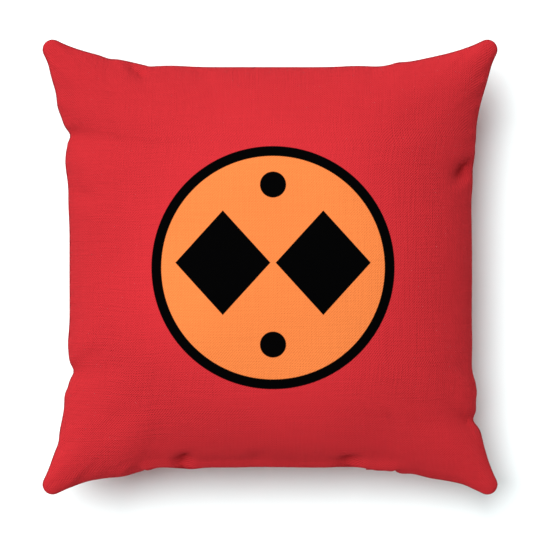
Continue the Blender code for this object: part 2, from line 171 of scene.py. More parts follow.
TAPE_FOOT = 0.0021  # inset of a tape's edge at the lip
TAPE_WIDTH = 0.0120
TAPE_THICKNESS = 0.0005
TAPE_CLEARANCE = 0.0004  # from the cover's cloth
TAPE_CELLS = 10
TAPE_ROWS = 12  # of the cover's grid, which a tape lies along
TAPE_STITCHING = 7  # the line of its grid that is sewn to the cover
TAPE_STITCHING_RISE = 0.0006  # of the stitching's underside over the tape's grid

THREAD_RADIUS = 0.00022
STITCH = 0.003
STITCH_INSET = 0.0024
STITCH_CROWN = 0.0001  # how much higher a stitch is halfway along
STITCH_DIP = 0.0003  # over the seam side of the cloth, where a stitch goes into it
OVERLOCK_RADIUS = 0.8 * THREAD_RADIUS
OVERLOCK_STEP = 0.0004  # from one point of a loop to the next, along the seam
OVERLOCK_BITE = 0.0030  # how far in from the allowances' edges the loops reach
OVERLOCK_SLACK = 0.0005  # how far out past those edges
TIE_RADIUS = 0.7 * THREAD_RADIUS
# The points of a seam tie: (inset, rise, shift along the seam).
TIE = [
    (0.0006, -0.0007, -0.0003),
    (0.0001, -0.0003, -0.0001),
    (0.0001, 0.0003, 0.0001),
    (0.0006, 0.0007, 0.0003),
]

LABEL_SPAN = (-0.090, -0.055)  # along the left side
LABEL_LENGTH = 0.0265
LABEL_FOOT = 0.0065  # inset of its sewn edge
LABEL_THICKNESS = 0.0003
LABEL_CLEARANCE = 0.0012  # from the cover's cloth
LABEL_GRID = (21, 29)  # points along its length and along the seam
LABEL_MARGIN = 0.006  # past both ends of its span, for the cover's lines that it follows


# --- Outlines and grids -----------------------------------------------------------------

def smooth(low, high, value):
    """0 below low, 1 above high and a smooth step between them."""
    t = np.clip((value - low) / (high - low), 0, 1)
    return t * t * (3 - 2 * t)


def half_side(layer):
    """Half of a side as (place, reach) points, from its middle to the tip of an ear: a
    straight run, a flare and the round tip up to the diagonal."""
    centre = layer["ear"] - EAR_RADIUS
    points = [(0.0, layer["middle"]), (layer["straight"], layer["middle"])]
    start = np.array(points[-1])
    end = centre + EAR_RADIUS * np.array([-math.sin(EAR_TANGENT), math.cos(EAR_TANGENT)])
    run = end[0] - start[0]
    for t in np.linspace(0, 1, 60)[1:]:
        points.append((2 * t**3 - 3 * t**2 + 1) * start
                      + (t**3 - 2 * t**2 + t) * run * np.array([1, layer["flare"]])
                      + (3 * t**2 - 2 * t**3) * end + (t**3 - t**2) * run * np.array([1, FLARE_END]))
    for angle in np.linspace(EAR_TANGENT, math.radians(-45), 24)[1:]:
        points.append((centre - EAR_RADIUS * math.sin(angle), centre + EAR_RADIUS * math.cos(angle)))
    return np.array(points)


def shares(cells):
    """Places of the grid lines across a side, from -1 to 1, closer together near the ears."""
    t = np.linspace(-1, 1, cells + 1)
    return 0.5 * t + 0.5 * np.sin(t * math.pi / 2)


def lengths_along(line):
    """How far along a line each of its points is."""
    return np.r_[0, np.cumsum(np.linalg.norm(np.diff(line, axis=0), axis=1))]


def read_off(at, walked, rows):
    """Rows that are given at the lengths walked, read off at other lengths."""
    return np.column_stack([np.interp(at, walked, rows[:, k]) for k in range(rows.shape[1])])


def side_points(layer, side, cells):
    """A side at the grid lines, as (place, reach)."""
    half = half_side(layer)
    walked = lengths_along(half)
    share = shares(cells)
    place = np.interp(np.abs(share) * walked[-1], walked, half[:, 0]) * np.sign(share)
    reach = np.interp(np.abs(share) * walked[-1], walked, half[:, 1])
    shift = sum(size * np.exp(-(((place - at) / width) ** 2)) for at, size, width in SEAM_SHIFTS[side])
    shift *= smooth(SHIFTS_END[1], SHIFTS_END[0], layer["ear"] - np.abs(place))
    if side == "bottom":
        shift *= smooth(ZIP_HALF, ZIP_HALF + SHIFTS_PAST_ZIP, np.abs(place))
    return place, reach + shift


def plan_grid(layer, cells):
    """The outline filled with a Coons patch, as an array of (row, column, xy)."""
    sides = {}
    for side in ("bottom", "top", "left", "right"):
        place, reach = side_points(layer, side, cells)
        sign = 1 if side in ("top", "right") else -1
        columns = (place, sign * reach) if side in ("bottom", "top") else (sign * reach, place)
        sides[side] = np.column_stack(columns)
    u = ((shares(cells) + 1) / 2)[None, :, None]
    v = ((shares(cells) + 1) / 2)[:, None, None]
    patch = ((1 - v) * sides["bottom"][None] + v * sides["top"][None]
             + (1 - u) * sides["left"][:, None] + u * sides["right"][:, None])
    corners = ((1 - u) * (1 - v) * sides["bottom"][0] + u * (1 - v) * sides["bottom"][-1]
               + (1 - u) * v * sides["top"][0] + u * v * sides["top"][-1])
    return patch - corners


def rim_indices(cells):
    """(row, column) of the outline's grid points, anticlockwise from the bottom left ear."""
    return ([(0, c) for c in range(cells)] + [(r, cells) for r in range(cells)]
            + [(cells, cells - c) for c in range(cells)] + [(cells - r, 0) for r in range(cells)])


def outline(layer, cells):
    """(points, unit normals pointing inwards) round the outline, seen from above."""
    plan = plan_grid(layer, cells)
    points = np.array([plan[i] for i in rim_indices(cells)])
    after = np.roll(points, -1, axis=0) - points
    length = np.linalg.norm(after, axis=1)[:, None]
    before, length_before = np.roll(after, 1, axis=0), np.roll(length, 1, axis=0)
    along = before / length_before * length + after / length * length_before
    along /= np.linalg.norm(along, axis=1)[:, None]
    return points, np.column_stack([-along[:, 1], along[:, 0]])


def quads(number):
    """The faces of a grid of numbered points."""
    corners = (number[:-1, :-1], number[:-1, 1:], number[1:, 1:], number[1:, :-1])
    return np.dstack(corners).reshape(-1, 4)


def two_sided(size):
    """Point numbers of two square grids that share their rim: (front, back, inner), where
    inner is true for the points that the back has to itself."""
    front = np.arange(size**2).reshape(size, size)
    inner = np.zeros((size, size), bool)
    inner[1:-1, 1:-1] = True
    back = front.copy()
    back[inner] = size**2 + np.arange(inner.sum())
    return front, back, inner


def finer(grid):
    """A grid with a new line between every two, on smooth curves through the old ones."""
    for _ in range(2):
        padded = np.concatenate([2 * grid[:1] - grid[1:2], grid, 2 * grid[-1:] - grid[-2:-1]])
        middle = (9 * (padded[1:-2] + padded[2:-1]) - padded[:-3] - padded[3:]) / 16
        merged = np.empty((2 * len(grid) - 1, *grid.shape[1:]))
        merged[::2], merged[1::2] = grid, middle
        grid = merged.swapaxes(0, 1)
    return grid


# --- The stuffed shape ------------------------------------------------------------------

def plain_domes(cells):
    """The front and the back that the simulation starts from."""
    plan = plan_grid(COVER, cells)
    swell = (1 - shares(cells) ** 2).clip(0) ** DOME_POWER
    dome = RISES["front"] * np.outer(swell, swell)
    return np.dstack([plan, dome]), np.dstack([plan, -dome])


def sewn_cover(cells):
    """The cover sewn along its seam: (object, front and back point numbers). Its shape key
    "cut" holds the two flat squares."""
    front, back, inner = two_sided(cells + 1)
    domes = plain_domes(cells)
    points = np.vstack([domes[0].reshape(-1, 3), domes[1][inner]])
    line = shares(cells) * COVER["cut"] / 2
    cut = np.dstack([*np.meshgrid(line, line), np.zeros(front.shape)])
    flat = np.vstack([cut.reshape(-1, 3), cut[inner]])

    mesh = bpy.data.meshes.new("blown_up")
    mesh.from_pydata(points.tolist(), [], quads(front).tolist() + quads(back)[:, ::-1].tolist())
    cover = bpy.data.objects.new("blown_up", mesh)
    bpy.context.scene.collection.objects.link(cover)
    cover.shape_key_add(name="Basis")
    cut_key = cover.shape_key_add(name="cut")
    cut_key.data.foreach_set("co", flat.astype(np.float32).ravel())
    sewn = cover.vertex_groups.new(name="sewn")
    sewn.add(front[~inner].tolist(), 1.0, "REPLACE")
    return cover, front, back


def add_pressure(cover):
    """Blows the cover up from inside, as light cloth held along its seam."""
    cloth = cover.modifiers.new("cloth", "CLOTH")
    cloth.collision_settings.use_collision = False
    cloth.point_cache.frame_end = SIM_FRAMES
    settings = cloth.settings
    settings.quality = 8
    settings.mass = 0.002
    settings.tension_stiffness, settings.compression_stiffness = 40, 20
    settings.shear_stiffness, settings.bending_stiffness = 8, 0.3
    settings.tension_damping, settings.compression_damping = 15, 15
    settings.shear_damping, settings.bending_damping = 10, 1
    settings.air_damping = 1
    settings.use_pressure = True
    settings.uniform_pressure_force = 50
    settings.effector_weights.gravity = 0
    settings.vertex_group_mass = "sewn"
    settings.rest_shape_key = cover.data.shape_keys.key_blocks["cut"]


def inflated(cells):
    """The front and the back of the cover as simulated cloth: arrays of (row, column, xyz),
    with the seam at height 0."""
    cover, front, back = sewn_cover(cells)
    add_pressure(cover)
    scene = bpy.context.scene
    scene.frame_start, scene.frame_end = 1, SIM_FRAMES
    for number in range(1, SIM_FRAMES + 1):
        scene.frame_set(number)
    settled = cover.evaluated_get(bpy.context.evaluated_depsgraph_get()).to_mesh()
    found = np.empty(len(settled.vertices) * 3, np.float32)
    settled.vertices.foreach_get("co", found)
    found = found.reshape(-1, 3).astype(float)
    mesh = cover.data
    bpy.data.objects.remove(cover)
    bpy.data.meshes.remove(mesh)
    scene.frame_set(1)
    return found[front], found[back]


def side_coordinates(points, side):
    """(place along a side, distance in from it) of each point."""
    x, y = points[..., 0], points[..., 1]
    across = {"left": x, "right": -x, "bottom": y, "top": -y}[side]
    return (y if side in ("left", "right") else x), across + COVER["middle"]


def normals_of(grid):
    normal = np.cross(np.gradient(grid, axis=1), np.gradient(grid, axis=0))
    return normal / np.linalg.norm(normal, axis=2, keepdims=True)


def lumps(points, seed):
    """Soft swellings of the stuffing, from -1 to 1."""
    x, y = points[..., 0], points[..., 1]
    waves = ((31, 17, 0.4), (-22, 35, 1.9), (47, -11, 3.1), (13, -52, 4.4), (60, 38, 5.2))
    return sum(np.sin(a * x + b * y + c + seed * k) for k, (a, b, c) in enumerate(waves)) / len(waves)


def creases(grid, face):
    """How deep the folds and the dimples of one side are at each point."""
    height = np.abs(grid[..., 2])
    depth = np.zeros_like(height)
    for side, place, slant, length, width, deep in FOLDS:
        along, inwards = side_coordinates(grid, side)
        across = (along - place - slant * inwards) / (width * (1 + inwards.clip(0) / length))
        groove = np.exp(-(across**2) - inwards.clip(0) / length)
        depth += deep * (1 if face > 0 else BACK_FOLDS) * groove * smooth(*FOLD_RISE, height)
    for x, y, length, width, angle, deep in DIMPLES if face > 0 else ():
        dx, dy = grid[..., 0] - x, grid[..., 1] - y
        along = (dx * math.cos(angle) + dy * math.sin(angle)) / length
        across = (dy * math.cos(angle) - dx * math.sin(angle)) / width
        depth += deep * np.exp(-(along**2) - across**2) * smooth(*DIMPLE_RISE, height)
    return depth


def swellings(grid, face):
    """How far the stuffing's lumps and the seam's small ripples stand out at each point."""
    height = np.abs(grid[..., 2])
    swelling = LUMP_SIZE * lumps(grid, LUMP_SEEDS[face]) * smooth(*LUMP_RISE, height)
    around = np.arctan2(grid[..., 1], grid[..., 0])
    waves = np.sin(97 * around + face) + np.sin(143 * around) + 0.6 * np.sin(211 * around)
    return swelling + RIPPLE_SIZE * waves * (np.exp(-height / RIPPLE_HEIGHT) * smooth(*RIPPLE_RISE, height))


def overhang(grid, height):
    """How far the front comes out over the zip at each point."""
    along, inwards = side_coordinates(grid, "bottom")
    share = smooth(*OVERHANG_RISE, height) * (1 - smooth(*OVERHANG_BACK, height))
    share *= (inwards < BOTTOM_STRIP) * (1 - smooth(*OVERHANG_ENDS, np.abs(along)))
    past_lip = sum(size * np.exp(-(((along - place) / width) ** 2)) for place, size, width in OVERHANGS)
    return (inwards + past_lip) * share


def worked(grid, face):
    """One side of the cover with its folds, dimples, ripples and lumps."""
    out = swellings(grid, face) - creases(grid, face)
    moved = grid + normals_of(grid) * face * out[..., None]
    if face > 0:
        moved[..., 1] -= overhang(moved, np.abs(grid[..., 2]))
    return moved


def rested(grid):
    """The back with its underside pressed flat on the floor."""
    over = np.clip(-grid[..., 2] - (SEAM_HEIGHT - FLAT_BLEND), 0, 2 * FLAT_BLEND)
    grid = grid.copy()
    grid[..., 2] = -(np.minimum(-grid[..., 2], SEAM_HEIGHT + FLAT_BLEND) - over**2 / (4 * FLAT_BLEND))
    return grid


def layer_shape(layer, shape):
    """The cover's shape brought down to another layer's outline and height."""
    cells = len(shape) - 1
    if layer is COVER:
        return shape
    moved = shape[..., :2] - plan_grid(COVER, cells)
    scale = layer["height"]
    return np.dstack([plan_grid(layer, cells) + scale * moved, scale * shape[..., 2]])


# --- Meshes -----------------------------------------------------------------------------

def add_mesh(name, points, faces, surface):
    """Puts a mesh in the scene on the pillow's body, with its points at the seam's height."""
    mesh = bpy.data.meshes.new(name)
    mesh.from_pydata((np.asarray(points) + [0, 0, SEAM_HEIGHT]).tolist(), [], faces)
    mesh.shade_smooth()
    mesh.materials.append(surface)
    made = bpy.data.objects.new(name, mesh)
    bpy.context.scene.collection.objects.link(made)
    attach(made, "pillow")
    return made


def add_thread(name, paths, radius, surface, closed=False):
    """Threads as round curves, from lists of points relative to the seam plane."""
    curve = bpy.data.curves.new(name, "CURVE")
    curve.dimensions = "3D"
    curve.bevel_depth = radius
    curve.bevel_resolution = 1
    curve.use_fill_caps = True
    for path in paths:
        spline = curve.splines.new("POLY")
        spline.points.add(len(path) - 1)
        flat = np.column_stack([np.asarray(path) + [0, 0, SEAM_HEIGHT], np.ones(len(path))])
        spline.points.foreach_set("co", flat.astype(np.float32).ravel())
        spline.use_cyclic_u = closed
    curve.materials.append(surface)
    made = bpy.data.objects.new(name, curve)
    bpy.context.scene.collection.objects.link(made)
    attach(made, "pillow")
    return made


def thicken(piece, name, thickness, offset):
    solidify = piece.modifiers.new(name, "SOLIDIFY")
    solidify.thickness = thickness
    solidify.offset = offset
    return solidify


def zip_share(points):
    """1 where a point of the outline is over the zip, 0 away from it."""
    near = 1 - smooth(ZIP_HALF, ZIP_END, np.abs(points[:, 0]))
    return near * (points[:, 1] < -COVER["middle"] * 0.9)


def thread_places(grid):
    """Lengths along the cloth from its middle lines, across and up, which place its weave."""
    places = []
    for lines in (grid, grid.swapaxes(0, 1)):
        steps = np.linalg.norm(np.diff(lines, axis=1), axis=2)
        walked = np.pad(np.cumsum(steps, axis=1), ((0, 0), (1, 0)))
        places.append(walked - walked[:, [len(grid) // 2]])
    return np.dstack([places[0], places[1].T])


def cloth_panel(name, layer, shape, face, surface):
    """One side of the cover or the insert: its dome and the seam allowance turned inwards,
    which the cover has little of along its zip."""
    grid = layer_shape(layer, shape).copy()
    cells = len(grid) - 1
    rim = rim_indices(cells)
    points, inwards = outline(layer, cells)
    share = zip_share(points) if layer is COVER else np.zeros(len(points))
    gap = SEAM_GAP + (LIP_GAP - SEAM_GAP) * share
    width = layer["allowance"] + (LIP_DEPTH - layer["allowance"]) * share
    for place, lift in zip(rim, gap):
        grid[place][2] = face * lift
    turned = np.column_stack([points + inwards * width[:, None], face * gap])

    number = np.arange((cells + 1) ** 2).reshape(cells + 1, cells + 1)
    edge = np.array([number[i] for i in rim])
    ring = number.size + np.arange(len(rim))
    faces = np.vstack([quads(number), np.column_stack([np.roll(edge, -1), edge, ring, np.roll(ring, -1)])])
    if face < 0:
        faces = faces[:, ::-1]
    panel = add_mesh(name, np.vstack([grid.reshape(-1, 3), turned]), faces.tolist(), surface)

    cut = thread_places(grid).reshape(-1, 2)
    cut = np.vstack([cut, cut[edge] * (1 + 2 * layer["allowance"] / layer["cut"])])
    cut = np.column_stack([cut, np.zeros(len(cut))])
    threads = panel.data.attributes.new("cut", "FLOAT_VECTOR", "POINT")
    threads.data.foreach_set("vector", cut.astype(np.float32).ravel())

    solidify = thicken(panel, "cloth", layer["cloth"], -1)
    solidify.use_even_offset = True
    solidify.thickness_clamp = 2
    return panel


def fill_body(name, layer, front, back, surface):
    """The filling, as one closed form."""
    front, back = layer_shape(layer, front), layer_shape(layer, back)
    above, below, inner = two_sided(len(front))
    points = np.vstack([front.reshape(-1, 3), back[inner]])
    return add_mesh(name, points, quads(above).tolist() + quads(below)[:, ::-1].tolist(), surface)


# --- Threads of the seams ---------------------------------------------------------------

def walked_outline(layer, step, cells, past_zip):
    """Points and inward normals about a step apart round the outline. With past_zip, it runs
    from one end of the zip to the other, and otherwise all the way round."""
    points, inwards = outline(layer, cells)
    if past_zip:
        at_zip = np.flatnonzero(zip_share(points) > 0)
        order = (at_zip[-1] + 1 + np.arange(len(points) - len(at_zip))) % len(points)
    else:
        order = np.r_[np.arange(len(points)), 0]
    walked = lengths_along(points[order])
    steps = 4 * round(walked[-1] / step / 4)
    at = np.linspace(0, walked[-1], steps + 1)[:None if past_zip else -1]
    points = read_off(at, walked, points[order])
    inwards = read_off(at, walked, inwards[order])
    return points, inwards / np.linalg.norm(inwards, axis=1)[:, None]


def make_lockstitch(owner, layer, cells):
    """The two threads of the seam. Each goes into its cloth once a stitch."""
    open_ended = owner == "cover"
    points, inwards = walked_outline(layer, STITCH / 4, cells, open_ended)
    phase = np.arange(len(points)) % 4
    rise = SEAM_GAP + layer["cloth"] + THREAD_RADIUS + STITCH_CROWN * (phase == 2)
    rise[phase == 0] = SEAM_GAP + STITCH_DIP
    for kind, side in (("needle", 1), ("bobbin", -1)):
        path = np.column_stack([points + inwards * STITCH_INSET, side * rise])
        piece = add_thread(f"{owner}_{kind}_stitches", [path], THREAD_RADIUS,
                           thread_material(), closed=not open_ended)
        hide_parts(f"{owner}_{kind}_thread")


def make_overlock(owner, layer, cells):
    """The thread looped over the allowances' edges."""
    edge = layer["allowance"]
    inner, outer = edge - OVERLOCK_BITE, edge + OVERLOCK_SLACK
    high = SEAM_GAP + layer["cloth"] + THREAD_RADIUS
    loop = ((inner, high), (edge, high), (outer, 0.0), (edge, -high), (inner, -high))
    open_ended = owner == "cover"
    points, inwards = walked_outline(layer, OVERLOCK_STEP, cells, open_ended)
    inset, rise = np.array(loop)[np.arange(len(points)) % len(loop)].T
    path = np.column_stack([points + inwards * inset[:, None], rise])
    piece = add_thread(owner + "_overlock_loops", [path], OVERLOCK_RADIUS,
                       thread_material(), closed=not open_ended)
    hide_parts(owner + "_overlock_thread")


def make_seam_ties(cells):
    """The stitches that just show between the two panels of the cover."""
    points, inwards = walked_outline(COVER, STITCH, cells, past_zip=True)
    forwards = np.column_stack([inwards[:, 1], -inwards[:, 0]])
    ties = []
    for point, inward, forward in zip(points, inwards, forwards):
        ties.append([(*(point + inward * inset + forward * shift), rise) for inset, rise, shift in TIE])
    add_thread("cover_seam_ties", ties, TIE_RADIUS, tie_material())


# --- Zip tapes --------------------------------------------------------------------------

def tape_lines(shape, face):
    """The inside of the cover along the zip, just clear of its cloth: (lines along the zip,
    points up each, xyz). A line starts at the lip."""
    columns = np.flatnonzero(np.abs(shape[0, :, 0]) < ZIP_HALF)
    normal = normals_of(shape)[:, columns] * face
    inside = shape[:, columns] - normal * (COVER["cloth"] + TAPE_CLEARANCE)
    at = np.linspace(0, TAPE_WIDTH, TAPE_CELLS + 1)
    lines = []
    for k in range(len(columns)):
        foot = (inside[1, k, 0], TAPE_FOOT - COVER["middle"], face * LIP_GAP)
        line = np.array([foot, *inside[1:TAPE_ROWS, k]])
        line[:, 1] = np.maximum(line[:, 1], foot[1])
        lines.append(read_off(at, lengths_along(line), line))
    return np.array(lines)


def stitching_path(lines):
    """Along a tape, on the side of it that faces the pillow's inside."""
    row = lines[:, TAPE_STITCHING]
    up = lines[:, TAPE_STITCHING + 1] - lines[:, TAPE_STITCHING - 1]
    inwards = np.cross(np.gradient(row, axis=0), up)
    inwards *= -1 if inwards[len(row) // 2, 1] < 0 else 1
    inwards /= np.linalg.norm(inwards, axis=1)[:, None]
    return row + inwards * (TAPE_STITCHING_RISE + THREAD_RADIUS)


def make_tapes(front, back):
    for side, shape, face in (("front", front, 1), ("back", back, -1)):
        lines = tape_lines(shape, face)
        faces = quads(np.arange(lines[..., 0].size).reshape(lines.shape[:2]))
        if face < 0:
            faces = faces[:, ::-1]
        name = f"zipper_{side}_tape"
        tape = add_mesh(name + "_woven", lines.reshape(-1, 3), faces.tolist(), tape_material())
        thicken(tape, "tape", TAPE_THICKNESS, 1)
        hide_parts(name)

        name = f"zipper_{side}_stitching"
        path = stitching_path(lines)
        piece = add_thread(name + "_line", [path], THREAD_RADIUS, thread_material())
        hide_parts(name)


# --- Care label -------------------------------------------------------------------------

def label_points(back):
    """The label's grid: lines that hang from the left seam down the inside of the back."""
    rise = back[:, 0, 1]
    rows = np.flatnonzero((rise > LABEL_SPAN[0] - LABEL_MARGIN) & (rise < LABEL_SPAN[1] + LABEL_MARGIN))
    inside = back[rows] + normals_of(back)[rows] * (COVER["cloth"] + LABEL_CLEARANCE)
    length, width = LABEL_GRID
    at = np.linspace(0, LABEL_LENGTH, length)
    lines = []
    for line in inside:
        line = line[line[:, 0] > LABEL_FOOT - COVER["middle"]]
        lines.append(read_off(at, lengths_along(line), line))
    lines = np.array(lines)
    along = np.linspace(*LABEL_SPAN, width)
    return np.array([read_off(along, lines[:, n, 1], lines[:, n]) for n in range(length)])


def make_label(back):
    """The blank care label: a strip of satin that hangs inside the left seam, against the
    back of the cover."""
    points = label_points(back)
    faces = quads(np.arange(points[..., 0].size).reshape(LABEL_GRID)).tolist()
    label = add_mesh("care_label_satin", points.reshape(-1, 3), faces, satin_material())
    thicken(label, "satin", LABEL_THICKNESS, 0)
    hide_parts("care_label")


# --- Materials --------------------------------------------------------------------------

class Surface:
    """A Principled material, and short ways to add nodes to it."""

    def __init__(self, name, roughness, **sockets):
        self.material = bpy.data.materials.new(name)
        self.material.use_nodes = True
        self.tree = self.material.node_tree
        self.shader = self.tree.nodes["Principled BSDF"]
        self.shader.inputs["Roughness"].default_value = roughness
        for socket, value in sockets.items():
            self.shader.inputs[socket.replace("_", " ")].default_value = value

    def node(self, kind, inputs=(), output=0, **settings):
        """Adds a node and returns one of its outputs. inputs are (socket, value or output)."""
        made = self.tree.nodes.new("ShaderNode" + kind)
        for key, value in settings.items():
            setattr(made, key, value)
        for socket, value in inputs:
            if isinstance(value, bpy.types.NodeSocket):
                self.tree.links.new(value, made.inputs[socket])
            else:
                made.inputs[socket].default_value = value
        return made.outputs[output]

    def maths(self, operation, *values):
        return self.node("Math", list(enumerate(values)), operation=operation)

    def ramp(self, value, low, high, start=0.0, end=1.0):
        """start where value is low, end where it is high, and a smooth step between them."""
        return self.node("MapRange", [("Value", value), ("From Min", low), ("From Max", high),
                                      ("To Min", start), ("To Max", end)], interpolation_type="SMOOTHSTEP")

    def noise(self, scale, detail=2.0, stretch=None, vector=None):
        """Noise from 0 to 1, with scale in cycles to the metre."""
        vector = vector or self.node("TexCoord", output="Object")
        if stretch:
            vector = self.node("VectorMath", [(0, vector), (1, stretch)], operation="MULTIPLY")
        return self.node("TexNoise", [("Vector", vector), ("Scale", scale), ("Detail", detail)])

    def mix(self, factor, a, b, blend="MIX"):
        """A mix of two colours. The numbers are the Mix node's colour sockets."""
        return self.node("Mix", [(0, factor), (6, a), (7, b)], output=2, data_type="RGBA", blend_type=blend)

    def colour(self, value):
        self.set("Base Color", value)

    def set(self, socket, value):
        self.tree.links.new(value, self.shader.inputs[socket])

    def bump(self, height, distance, strength=1.0):
        inputs = [("Height", height), ("Distance", distance), ("Strength", strength)]
        self.set("Normal", self.node("Bump", inputs))


def woven(surface, pitch, vector):
    """(height, slubs) of a plain weave with threads a pitch apart. The slubs, where a thread is
    thicker or thinner, vary about 1."""
    parts = surface.node("SeparateXYZ", [("Vector", vector)], output="X").node
    turns = math.pi / pitch
    across = surface.maths("SINE", surface.maths("MULTIPLY", parts.outputs["X"], turns))
    down = surface.maths("SINE", surface.maths("MULTIPLY", parts.outputs["Y"], turns))
    weave = surface.maths("MULTIPLY", across, down)
    warp = surface.noise(1.0, 1.0, (0.9 / pitch, 22.0, 1.0), vector)
    weft = surface.noise(1.0, 1.0, (22.0, 0.9 / pitch, 1.0), vector)
    slubs = surface.maths("ADD", warp, weft)
    height = surface.maths("ADD", surface.maths("MULTIPLY", weave, 0.5), slubs)
    return height, slubs


# --- The printed cloth ------------------------------------------------------------------

WEAVE_PITCH = 0.0013
WEAVE_BUMP = 0.00085
# Drawn tight over the crown, the weave is flatter there. It has this share of its bump out to
# the first distance from the middle, and all of it from the second.
TIGHT_BUMP = 0.35
TIGHT_REACH = (0.08, 0.19)
RED = (0.512, 0.0238, 0.0308)
ORANGE = (0.755, 0.198, 0.050)
BLACK = (0.0004, 0.0004, 0.0005)

# The motif, seen from above, about its own centre.
MOTIF_CENTRE = (0.0029, -0.0007)
DISC_RADIUS, RING_WIDTH = 0.1166, 0.0096
LOZENGE_SPREAD = 0.0480  # from the motif's middle line to each lozenge's centre
LOZENGE_HALF = (0.0455, 0.0500)
LOZENGE_RISE = 0.0048
LOZENGE_EDGE = 0.01  # the softness of its edge, as a share of its half width
DOT_RISES = (0.0795, -0.0735)
DOT_RADIUS = 0.0125
INK_EDGE = 0.0004  # the softness of the round edges


def print_colour(surface):
    """The motif: an orange disc in a black ring, with two black lozenges side by side and a
    black dot above and below them."""
    place = surface.node("TexCoord", output="Object")
    parts = surface.node("SeparateXYZ", [("Vector", place)], output="X").node.outputs
    x = surface.maths("SUBTRACT", parts["X"], MOTIF_CENTRE[0])
    y = surface.maths("SUBTRACT", parts["Y"], MOTIF_CENTRE[1])

    def inside(distance, limit):
        return surface.ramp(distance, limit - INK_EDGE, limit + INK_EDGE, 1.0, 0.0)

    def distance_to(height):
        squares = [surface.maths("MULTIPLY", v, v) for v in (x, surface.maths("SUBTRACT", y, height))]
        return surface.maths("SQRT", surface.maths("ADD", *squares))

    def share_of(value, centre, half):
        away = surface.maths("ABSOLUTE", surface.maths("SUBTRACT", value, centre))
        return surface.maths("DIVIDE", away, half)

    middle = distance_to(0.0)
    disc = inside(middle, DISC_RADIUS)
    orange = inside(middle, DISC_RADIUS - RING_WIDTH)
    side = share_of(surface.maths("ABSOLUTE", x), LOZENGE_SPREAD, LOZENGE_HALF[0])
    tall = share_of(y, LOZENGE_RISE, LOZENGE_HALF[1])
    lozenge = surface.maths("ADD", side, tall)
    ink = surface.ramp(lozenge, 1 - LOZENGE_EDGE, 1 + LOZENGE_EDGE, 1.0, 0.0)
    for height in DOT_RISES:
        ink = surface.maths("MAXIMUM", ink, inside(distance_to(height), DOT_RADIUS))
    filled = surface.mix(ink, (*ORANGE, 1), (*BLACK, 1))
    framed = surface.mix(orange, (*BLACK, 1), filled)
    return surface.mix(disc, (*RED, 1), framed)


def make_printed_cloth(name, printed):
    """Red polyester plain weave. The front has the round motif printed on it."""
    surface = Surface(name, 0.9, Specular_IOR_Level=0.02)
    threads = surface.node("Attribute", output="Vector", attribute_name="cut")
    height, slubs = woven(surface, WEAVE_PITCH, threads)
    colour = print_colour(surface) if printed else (*RED, 1)
    shade = surface.ramp(slubs, 0.6, 1.4, 0.97, 1.03)
    cloudy = surface.ramp(surface.noise(9.0, 3.0), 0.3, 0.7, 0.98, 1.02)
    shade = surface.maths("MULTIPLY", shade, cloudy)
    grey_shade = surface.node("CombineColor", [("Red", shade), ("Green", shade), ("Blue", shade)])
    surface.colour(surface.mix(1.0, colour, grey_shade, "MULTIPLY"))
    place = surface.node("TexCoord", output="Object")
    level = surface.node("VectorMath", [(0, place), (1, (1, 1, 0))], operation="MULTIPLY")
    reach = surface.node("VectorMath", [(0, level)], output="Value", operation="LENGTH")
    slack = surface.ramp(reach, *TIGHT_REACH, TIGHT_BUMP, 1.0)
    surface.bump(surface.maths("MULTIPLY", height, slack), WEAVE_BUMP)
    return surface.material


# --- Other materials --------------------------------------------------------------------

def tie_material():
    """The same thread, dyed red by the print."""
    surface = Surface("dyed_thread", 0.7)
    twist = surface.noise(900.0, 1.0, (1.0, 1.0, 2.5))
    surface.colour(surface.mix(twist, (0.44, 0.040, 0.045, 1), (0.58, 0.085, 0.090, 1)))
    surface.bump(twist, 0.00006)
    return surface.material


def thread_material():
    """Twisted polyester sewing thread."""
    found = bpy.data.materials.get("sewing_thread")
    if found:
        return found
    surface = Surface("sewing_thread", 0.6, Sheen_Weight=0.3)
    twist = surface.noise(900.0, 1.0, (1.0, 1.0, 2.5))
    surface.colour(surface.mix(twist, (0.62, 0.58, 0.54, 1), (0.80, 0.78, 0.75, 1)))
    surface.bump(twist, 0.00008)
    return surface.material


def insert_material():
    """White non-woven casing, with its pressed fibres."""
    surface = Surface("insert_casing", 0.9, Sheen_Weight=0.2)
    fibres = surface.noise(420.0, 4.0, (1.0, 0.35, 1.0))
    surface.colour(surface.mix(fibres, (0.70, 0.69, 0.66, 1), (0.84, 0.83, 0.81, 1)))
    surface.bump(fibres, 0.0002, 0.6)
    return surface.material


def fibre_material():
    """Loose white stuffing."""
    surface = Surface("stuffing", 1.0, Sheen_Weight=0.5)
    clumps = surface.noise(70.0, 8.0)
    surface.colour(surface.mix(clumps, (0.66, 0.65, 0.62, 1), (0.88, 0.87, 0.85, 1)))
    surface.bump(clumps, 0.003, 0.9)
    return surface.material


def tape_material():
    """Red zip tape, in a fine plain weave."""
    surface = Surface("zip_tape_weave", 0.75, Sheen_Weight=0.2)
    place = surface.node("TexCoord", output="Object")
    height, slubs = woven(surface, 0.0005, place)
    shade = surface.ramp(slubs, 0.5, 1.5)
    surface.colour(surface.mix(shade, (0.36, 0.018, 0.024, 1), (0.46, 0.026, 0.033, 1)))
    surface.bump(height, 0.0001, 0.7)
    return surface.material


def nylon_material():
    surface = Surface("zip_coil_nylon", 0.42, Coat_Weight=0.15)
    streaks = surface.noise(600.0, 2.0, (0.3, 1.0, 1.0))
    surface.colour(surface.mix(streaks, (0.36, 0.017, 0.024, 1), (0.44, 0.024, 0.031, 1)))
    surface.bump(streaks, 0.00003, 0.5)
    return surface.material


